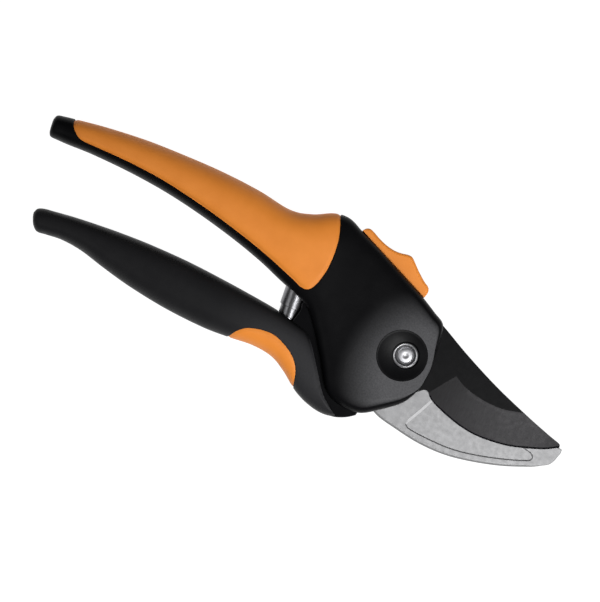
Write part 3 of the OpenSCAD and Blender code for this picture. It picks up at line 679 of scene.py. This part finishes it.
def blade_solid():
    """The blade before it is ground, with its hub, its tang and the lock's notch."""
    outline = np.concatenate([curve(BLADE_SPINE, 12)[:-1], curve(BLADE_EDGE, 12),
                              curve(BLADE_HEEL, 6)])
    body = plate("pruning_blade", outline, BLADE_LOW, BLADE_HIGH, round_low=0.12,
                 round_high=0.2, steps=3)
    combine(body, rod(BLADE_HUB_R, BLADE_LOW + SINK, BLADE_HIGH - SINK), "UNION")
    combine(body, prism(BLADE_TANG, BLADE_LOW + 2 * SINK, BLADE_HIGH - 2 * SINK), "UNION")
    sweep = range(NOTCH_FROM, NOTCH_TO + 1, 4)
    notch = [polar(a, NOTCH_R) for a in sweep] + [polar(a, NOTCH_REACH) for a in sweep[::-1]]
    combine(body, prism(notch, MID - OVER, TOOL_T))
    return combine(body, rod(BUSHING_R, MID - OVER, TOOL_T))


def wedge(tops, feet, top_z, foot_z):
    """Everything above a ruled surface from tops at top_z down to feet at foot_z."""
    share = np.linspace(0, 1, 9)[:, None]
    rings = []
    for a, b in zip(tops, feet):
        slope = np.array([*a, top_z]) * (1 - share) + np.array([*b, foot_z]) * share
        rings.append(np.concatenate([slope, [[*b, top_z + 2 * OVER], [*a, top_z + 2 * OVER]]]))
    return stack("cutter", rings)


def make_blade():
    """The blade with its wide ground bevel and, along the edge, a narrow honed one."""
    body = blade_solid()
    combine(body, wedge(curve(BEVEL_TOP, 14), curve(BEVEL_FOOT, 14), BLADE_HIGH,
                        BLADE_LOW + EDGE_T))
    hone_in, hone_out = 0.75, 0.3     # from the edge into the blade, and past it
    hone_high, hone_low = 0.62, 0.12  # above the blade's rear face, and below it
    last_steps = 6                    # the edge runs into the heel, which isn't honed
    edge = curve(BLADE_EDGE, 12)[:-last_steps][::-1]
    ahead = np.gradient(edge, axis=0)
    ahead /= np.linalg.norm(ahead, axis=1, keepdims=True)
    inward = np.column_stack([-ahead[:, 1], ahead[:, 0]])
    combine(body, wedge(edge + inward * hone_in, edge - inward * hone_out,
                        BLADE_LOW + hone_high, BLADE_LOW - hone_low))
    return finish_mesh(body, angle=12)


def make_thumb_lock():
    """The thumb lock's button, on the stem that reaches through the housing's window."""
    outline = counter_clockwise(curve(BUTTON, 10))
    rim = np.clip(0.55 * (outline[:, 1] - outline[:, 1].min()), 0, 1.0)
    body = plate("thumb_lock_button", outline, MID - LOCK_W / 2, MID + LOCK_W / 2, rim, rim,
                 steps=6)
    stem = prism(oblong(STEM_FROM, STEM_TO, STEM_FOOT, STEM_TOP), MID - STEM_W / 2,
                 MID + STEM_W / 2)
    combine(body, stem, "UNION")
    combine(body, prism(PLATE_SLOT, PLATE_LOW, PLATE_HIGH))
    return finish_mesh(in_lock_frame(body))


def make_spring():
    """Flat strip wound on a shrinking radius, with eased edges."""
    per_turn = 48
    n = int(SPRING_TURNS * per_turn)
    rise = 2 * SPRING_HALF - STRIP_W
    ease = 0.12
    strip = [(0, ease), (ease, 0), (STRIP_T - ease, 0), (STRIP_T, ease),
             (STRIP_T, STRIP_W - ease), (STRIP_T - ease, STRIP_W), (ease, STRIP_W),
             (0, STRIP_W - ease)]
    rings = []
    for i in range(n + 1):
        a = 2 * pi * i / per_turn
        r = SPRING_R - SPRING_STEP * i / per_turn
        z = SPRING_HALF - STRIP_W - rise * i / n
        rings.append(np.array([[(r - d) * cos(a), (r - d) * sin(a), z + h] for d, h in strip]))
    return finish_mesh(place(stack("volute_spring", rings), spring_matrix()))


def make_pivot_bolt():
    """The bolt, with a hexagon socket in its head and a turned dome on its end."""
    body = lathe("pivot_screw", BOLT_PROFILE)
    combine(body, rod(SOCKET_R, -OVER, SOCKET_TOP, sides=6))
    return finish_mesh(body, angle=30)


def make_pivot_nut():
    """The round nut, with a groove round the bolt's end."""
    return finish_mesh(ring_lathe("pivot_nut_ring", NUT_PROFILE), angle=40)


def make_screws():
    """Three screw heads with their shanks, as one group of solids."""
    heads = []
    for at in SCREWS:
        head = lathe("shell_screw", SCREW_PROFILE, at, 48)
        for turn in SLOT_TURNS:
            long = np.array(polar(turn, SLOT_HALF[0]))
            wide = np.array(polar(turn + 90, SLOT_HALF[1]))
            cross = [np.array(at) + i * long + j * wide
                     for i, j in ((-1, -1), (1, -1), (1, 1), (-1, 1))]
            combine(head, prism(cross, -OVER, SLOT_TOP))
        heads.append(head)
    for other in heads[1:]:
        combine(heads[0], other, "UNION")
    heads[0].name = "housing_screws"
    return finish_mesh(heads[0])


# ---------------------------------------------------------------- materials
def material(name, colour, rough, metal=0.0, specular=0.5):
    """A plain material, which remembers the name of its shader node."""
    made = bpy.data.materials.new(name)
    made.use_nodes = True
    shader = made.node_tree.nodes["Principled BSDF"]
    shader.inputs["Base Color"].default_value = (*colour, 1)
    shader.inputs["Roughness"].default_value = rough
    shader.inputs["Metallic"].default_value = metal
    shader.inputs["Specular IOR Level"].default_value = specular
    made["shader"] = shader.name
    return made


def noise(tree, scale, detail=3.0, rough=0.55, stretch=(1, 1, 1)):
    """Noise in the piece's own space; scale is features per millimetre."""
    place_node = tree.nodes.new("ShaderNodeTexCoord")
    mapping = tree.nodes.new("ShaderNodeMapping")
    mapping.inputs["Scale"].default_value = stretch
    texture = tree.nodes.new("ShaderNodeTexNoise")
    texture.inputs["Scale"].default_value = scale / MM
    texture.inputs["Detail"].default_value = detail
    texture.inputs["Roughness"].default_value = rough
    tree.links.new(place_node.outputs["Object"], mapping.inputs["Vector"])
    tree.links.new(mapping.outputs["Vector"], texture.inputs["Vector"])
    return texture.outputs["Fac"]


def spread(tree, value, low, high, from_low=0.3, from_high=0.7):
    """Map a noise value onto a range."""
    node = tree.nodes.new("ShaderNodeMapRange")
    node.inputs["From Min"].default_value = from_low
    node.inputs["From Max"].default_value = from_high
    node.inputs["To Min"].default_value = low
    node.inputs["To Max"].default_value = high
    tree.links.new(value, node.inputs["Value"])
    return node.outputs["Result"]


def tint(tree, value, first, second):
    """A colour between two, led by a value."""
    node = tree.nodes.new("ShaderNodeMix")
    node.data_type = "RGBA"
    node.inputs["A"].default_value = (*first, 1)
    node.inputs["B"].default_value = (*second, 1)
    tree.links.new(value, node.inputs["Factor"])
    return node.outputs["Result"]


def bump(tree, shader, layers):
    """Bump from several values: each layer is a value and its height in millimetres."""
    last = None
    for value, height in layers:
        node = tree.nodes.new("ShaderNodeBump")
        node.inputs["Distance"].default_value = height * MM
        node.inputs["Strength"].default_value = 1.0
        tree.links.new(value, node.inputs["Height"])
        if last is not None:
            tree.links.new(last, node.inputs["Normal"])
        last = node.outputs["Normal"]
    tree.links.new(last, shader.inputs["Normal"])


def moulded(name, dark, light, rough, grain, grain_height, specular=0.5):
    """Moulded plastic or rubber: spark-eroded grain, mottled colour, uneven gloss."""
    made = material(name, dark, sum(rough) / 2, 0.0, specular)
    tree, shader = made.node_tree, made.node_tree.nodes[made["shader"]]
    tree.links.new(tint(tree, spread(tree, noise(tree, 0.12, 4), 0, 1), dark, light),
                   shader.inputs["Base Color"])
    tree.links.new(spread(tree, noise(tree, 0.35, 5), *rough), shader.inputs["Roughness"])
    bump(tree, shader, [(noise(tree, grain, 3), grain_height),
                        (noise(tree, 0.08, 2), grain_height * 6)])
    return made


def metal(name, dark, light, rough, stretch, line_height, metallic=1.0):
    """Metal with fine lines along one direction and uneven gloss."""
    made = material(name, light, sum(rough) / 2, metallic)
    tree, shader = made.node_tree, made.node_tree.nodes[made["shader"]]
    lines = noise(tree, 1.0, 4, 0.6, stretch)
    tree.links.new(tint(tree, spread(tree, lines, 0, 1), dark, light),
                   shader.inputs["Base Color"])
    tree.links.new(spread(tree, noise(tree, 0.6, 5), *rough), shader.inputs["Roughness"])
    bump(tree, shader, [(lines, line_height)])
    return made


def paint(piece, *materials):
    """Give a piece its materials, in slots counted from 0."""
    piece.data.materials.clear()
    for one in materials:
        piece.data.materials.append(one)


def near_spot(tree, middle, full, none):
    """1 close to a spot on the tool, fading to 0."""
    place_node = tree.nodes.new("ShaderNodeTexCoord")
    reach = tree.nodes.new("ShaderNodeVectorMath")
    reach.operation = "DISTANCE"
    reach.inputs[1].default_value = tuple(value * MM for value in middle)
    tree.links.new(place_node.outputs["Object"], reach.inputs[0])
    fade = tree.nodes.new("ShaderNodeMapRange")
    fade.interpolation_type = "SMOOTHSTEP"
    fade.inputs["From Min"].default_value = none * MM
    fade.inputs["From Max"].default_value = full * MM
    tree.links.new(reach.outputs["Value"], fade.inputs["Value"])
    return fade.outputs["Result"]


def facing_up(tree, low, high):
    """1 on faces that look along the tool's Z, fading to 0 where a surface turns away."""
    place_node = tree.nodes.new("ShaderNodeTexCoord")
    split = tree.nodes.new("ShaderNodeSeparateXYZ")
    tree.links.new(place_node.outputs["Normal"], split.inputs["Vector"])
    return spread(tree, split.outputs["Z"], 0, 1, low, high)


def product(tree, first, second):
    """One value times another."""
    node = tree.nodes.new("ShaderNodeMath")
    node.operation = "MULTIPLY"
    tree.links.new(first, node.inputs[0])
    tree.links.new(second, node.inputs[1])
    return node.outputs["Value"]


def painted_highlight_patch(made, middle, full, none, facing, colour):
    """Paint a lighter colour round a spot on faces that look along Z: a painted highlight, broken
    up by noise.
    """
    tree, shader = made.node_tree, made.node_tree.nodes[made["shader"]]
    patch = product(tree, near_spot(tree, middle, full, none), facing_up(tree, *facing))
    painted_light = product(tree, patch, spread(tree, noise(tree, 1.6, 4, 0.65), 0.7, 1.1))
    old = shader.inputs["Base Color"].links[0].from_socket
    mix = tree.nodes.new("ShaderNodeMix")
    mix.data_type = "RGBA"
    mix.inputs["B"].default_value = (*colour, 1)
    tree.links.new(painted_light, mix.inputs["Factor"])
    tree.links.new(old, mix.inputs["A"])
    tree.links.new(mix.outputs["Result"], shader.inputs["Base Color"])
    return made


# Each takes its darkest and lightest colour and its range of roughness. Then a moulding takes its
# grain and the grain's height, and a metal its lines' stretch and height.
# The front housing's black carries a painted highlight round the pivot, lighter on faces that look
# along Z.
housing_nylon = painted_highlight_patch(
    moulded("black_nylon_painted_highlight", (0.003, 0.003, 0.0035), (0.0045, 0.0045, 0.005),
            (0.40, 0.48), 6.0, 0.012, specular=0.05),
    middle=(13, -4, TOOL_T), full=16, none=36, facing=(0.86, 0.985), colour=(0.081, 0.081, 0.085))
nylon = moulded("black_nylon", (0.0045, 0.0045, 0.005), (0.0065, 0.0065, 0.007), (0.38, 0.46),
                6.0, 0.012, specular=0.06)
dish_nylon = moulded("dish_nylon", (0.003, 0.003, 0.0035), (0.0045, 0.0045, 0.005),
                     (0.42, 0.5), 6.0, 0.008, specular=0.10)
# A darker copy of the black nylon for the lower handle's neck inside the housing: painted shade.
neck_nylon_painted_shade = moulded("neck_nylon_painted_shade", (0.0015, 0.0015, 0.002), (0.0025, 0.0025, 0.003),
                     (0.45, 0.55), 6.0, 0.008, specular=0.03)
# The lower handle's black carries a painted highlight near its ridge, on faces that look along Z.
handle_nylon = painted_highlight_patch(
    moulded("handle_nylon", (0.0125, 0.0125, 0.0135), (0.0155, 0.0155, 0.0165),
            (0.40, 0.48), 6.0, 0.012, specular=0.06),
    middle=(-32, -17, TOOL_T), full=6, none=42, facing=(0.3, 0.9), colour=(0.028, 0.028, 0.030))
orange_rubber = moulded("orange_rubber", (0.745, 0.236, 0.031), (0.80, 0.262, 0.039),
                        (0.52, 0.62), 5.0, 0.014, specular=0.22)
orange_plastic = moulded("orange_plastic", (0.77, 0.245, 0.031), (0.83, 0.272, 0.039),
                         (0.40, 0.48), 6.0, 0.008, specular=0.26)
hook_steel = metal("blasted_steel", (0.255, 0.255, 0.26), (0.295, 0.295, 0.30), (0.56, 0.66),
                   (2.4, 2.4, 2.4), 0.010, metallic=0.7)
coating = metal("blade_coating", (0.004, 0.004, 0.0045), (0.0055, 0.0055, 0.006), (0.5, 0.6),
                (0.6, 3.0, 3.0), 0.004, metallic=0.0)
ground_steel = metal("ground_bevel", (0.019, 0.0185, 0.0195), (0.025, 0.0245, 0.0255), (0.42, 0.50),
                     (3.5, 0.35, 1.0), 0.004, metallic=0.55)
# Near-black for the narrow honed edge, which is bare steel: painted shade.
honed_edge_painted_shade = metal("honed_edge_painted_shade", (0.004, 0.004, 0.005), (0.007, 0.007, 0.008), (0.4, 0.5),
                  (3.5, 0.35, 1.0), 0.003, metallic=0.0)
chrome = metal("bright_chrome", (0.36, 0.36, 0.375), (0.42, 0.42, 0.435), (0.48, 0.54),
               (0.6, 0.6, 0.6), 0.001)
nut_chrome = metal("nut_chrome", (0.72, 0.72, 0.735), (0.80, 0.80, 0.815), (0.34, 0.42),
                   (0.6, 0.6, 0.6), 0.001)
spring_steel = metal("spring_steel", (0.19, 0.19, 0.20), (0.24, 0.24, 0.25), (0.26, 0.34),
                     (0.4, 0.4, 3.0), 0.002)
# A light copy of the hook's steel for the relief's ramp: a painted highlight.
ramp_painted_highlight = metal("ramp_painted_highlight", (0.58, 0.58, 0.59), (0.66, 0.66, 0.67), (0.40, 0.50),
                    (2.0, 2.0, 2.0), 0.003, metallic=0.3)
# A dark copy of the nut's chrome for its groove: painted shade.
groove_painted_shade = metal("groove_painted_shade", (0.03, 0.03, 0.032), (0.05, 0.05, 0.052), (0.4, 0.5),
                    (2.0, 2.0, 2.0), 0.003, metallic=0.5)
steel = metal("turned_steel", (0.42, 0.42, 0.44), (0.52, 0.52, 0.54), (0.26, 0.38),
              (2, 2, 2), 0.004)
bronze = metal("oiled_bronze", (0.42, 0.25, 0.10), (0.55, 0.34, 0.14), (0.3, 0.42),
               (2, 2, 2), 0.006)
washer_plastic = moulded("washer_plastic", (0.62, 0.58, 0.46), (0.7, 0.66, 0.54), (0.4, 0.5),
                         5.0, 0.006)
for dark_metal in (coating, ground_steel, honed_edge_painted_shade):
    shader_name = dark_metal["shader"]
    dark_metal.node_tree.nodes[shader_name].inputs["Specular IOR Level"].default_value = 0.06


# ---------------------------------------------------------------- assembly
def settle(piece, body, slot, nodes, *materials):
    """Paint a piece, ride it on its body and let it stand for its CAD nodes."""
    paint(piece, *materials)
    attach(piece, body)
    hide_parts(*nodes)
    return piece


def refinish(piece, slot, test):
    """Give the faces that pass a test the material in a slot."""
    for face in piece.data.polygons:
        if test(face.center / MM, face.normal.z):
            face.material_index = slot


# Tests of a face, by its middle in millimetres and the Z of its normal.
def in_dish(middle, tilt):
    return (middle.xy - Vector(DISH_SPOT)).length < DISH_R + 0.1 and middle.z < TOOL_T - 0.02


def on_relief_ramp(middle, tilt):
    return 0.6 < tilt < 0.97 and 11 < middle.x < 18.5 and -22 < middle.y < -9


def in_nut_groove(middle, tilt):
    return middle.xy.length < NUT_GROOVE_R


def on_neck(middle, tilt):
    return middle.z < NECK_HIGH + 0.02 and abs(tilt) > 0.9


def on_bevel(middle, tilt):
    return 0.5 < tilt < 0.9985 and middle.x > 13.5


def on_honed_edge(middle, tilt):
    return on_bevel(middle, tilt) and middle.z < BLADE_LOW + 0.68 and tilt < 0.93


front = make_front_shell()
settle(front, UPPER, "black_nylon", ["front_shell"], housing_nylon, dish_nylon)
refinish(front, 1, in_dish)
settle(make_rear_shell(), UPPER, "black_nylon", ["rear_shell"], nylon)
settle(make_upper_grip(), UPPER, "orange_soft_grip", ["upper_grip"], orange_rubber)
hook = make_hook()
settle(hook, UPPER, "hook_steel", ["hook"], hook_steel, ramp_painted_highlight)
# The relief's ramp takes the painted highlight.
refinish(hook, 1, on_relief_ramp)
settle(make_pivot_bolt(), UPPER, "chrome", ["pivot_bolt"], chrome)
nut = make_pivot_nut()
settle(nut, UPPER, "chrome", ["pivot_nut"], nut_chrome, groove_painted_shade)
# The nut's groove takes the painted shade.
refinish(nut, 1, in_nut_groove)
settle(make_screws(), UPPER, "plain_steel", ["shell_screws"], steel)
lever = make_lower_handle()
settle(lever, LOWER, "black_nylon", ["lower_handle"], handle_nylon, neck_nylon_painted_shade)
# The neck's faces take the painted shade.
refinish(lever, 1, on_neck)
settle(make_lower_inlay(), LOWER, "orange_soft_grip", ["lower_inlay"], orange_rubber)
settle(make_thumb_lock(), LOCK, "orange_lock", ["thumb_lock"], orange_plastic)
blade = make_blade()
settle(blade, LOWER, "coated_blade", ["blade"], coating, ground_steel, honed_edge_painted_shade)
refinish(blade, 1, on_bevel)
# The honed edge takes the painted shade.
refinish(blade, 2, on_honed_edge)

spring = make_spring()
paint(spring, spring_steel)
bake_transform(spring)
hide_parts("return_spring")

for node, finish in (("hook_dowels", steel), ("bolt_washer", steel), ("detent_leaf", steel),
                     ("thrust_washer", washer_plastic), ("blade_bushing", bronze),
                     ("blade_rivets", steel), ("lock_plate", steel), ("lock_pins", steel)):
    for obj in bpy.data.objects:
        if obj.type == "MESH" and obj.name.split(".")[0] == node:
            for k in range(len(obj.material_slots)):
                obj.material_slots[k].material = finish


# ---------------------------------------------------------------- stage
def make_floor():
    """A wide pale floor that glows a little, as the photo's background is burnt out."""
    reach, level = 1500, -0.02        # the level is a hair under the tool
    points = [[x * reach, y * reach, level] for y in (-1, 1) for x in (-1, 1)]
    floor = add("studio_floor", points, [[0, 1, 3, 2]])
    pale = material("pale_floor", (0.12, 0.12, 0.12), 0.9, 0.0, 0.05)
    shader = pale.node_tree.nodes[pale["shader"]]
    shader.inputs["Emission Color"].default_value = (1, 1, 1, 1)
    shader.inputs["Emission Strength"].default_value = 1.0
    paint(floor, pale)


def add_area(name, place_mm, aim_mm, size_mm, power):
    """A soft lamp that looks at a spot and isn't seen itself."""
    lamp = bpy.data.lights.new(name, "AREA")
    lamp.shape = "RECTANGLE"
    lamp.size, lamp.size_y = (side * MM for side in size_mm)
    lamp.energy = power
    holder = bpy.data.objects.new(name, lamp)
    bpy.context.scene.collection.objects.link(holder)
    holder.location = Vector(place_mm) * MM
    holder.visible_camera = False
    way = (Vector(aim_mm) - Vector(place_mm)).normalized()
    holder.rotation_euler = way.to_track_quat("-Z", "Y").to_euler()


def make_lights():
    """A key above the blade, a weak fill over the handles and a dim white world."""
    add_area("key", (110, -70, 300), (0, 0, 20), (150, 150), 1.15)
    add_area("fill", (-330, -160, 330), (-100, 0, 10), (260, 260), 0.35)
    world = bpy.data.worlds.new("studio")
    world.use_nodes = True
    world.node_tree.nodes["Background"].inputs["Color"].default_value = (1, 1, 1, 1)
    world.node_tree.nodes["Background"].inputs["Strength"].default_value = 0.05
    bpy.context.scene.world = world


def make_camera():
    """Straight above the tool, turned so that it lies nose down to the right."""
    roll, reach = radians(28), 1500.0
    width = 219.6                     # of the view, at the parting plane's height
    centre = (-43.05, -0.51)
    lens = bpy.data.cameras.new("camera")
    lens.sensor_width = 36
    lens.lens = lens.sensor_width * (reach - MID) / width
    lens.clip_end = 10
    holder = bpy.data.objects.new("camera", lens)
    bpy.context.scene.collection.objects.link(holder)
    holder.location = Vector((*centre, reach)) * MM
    holder.rotation_euler = (0, 0, roll)
    bpy.context.scene.camera = holder


make_floor()
make_lights()
make_camera()
bpy.context.scene.view_settings.view_transform = "Standard"
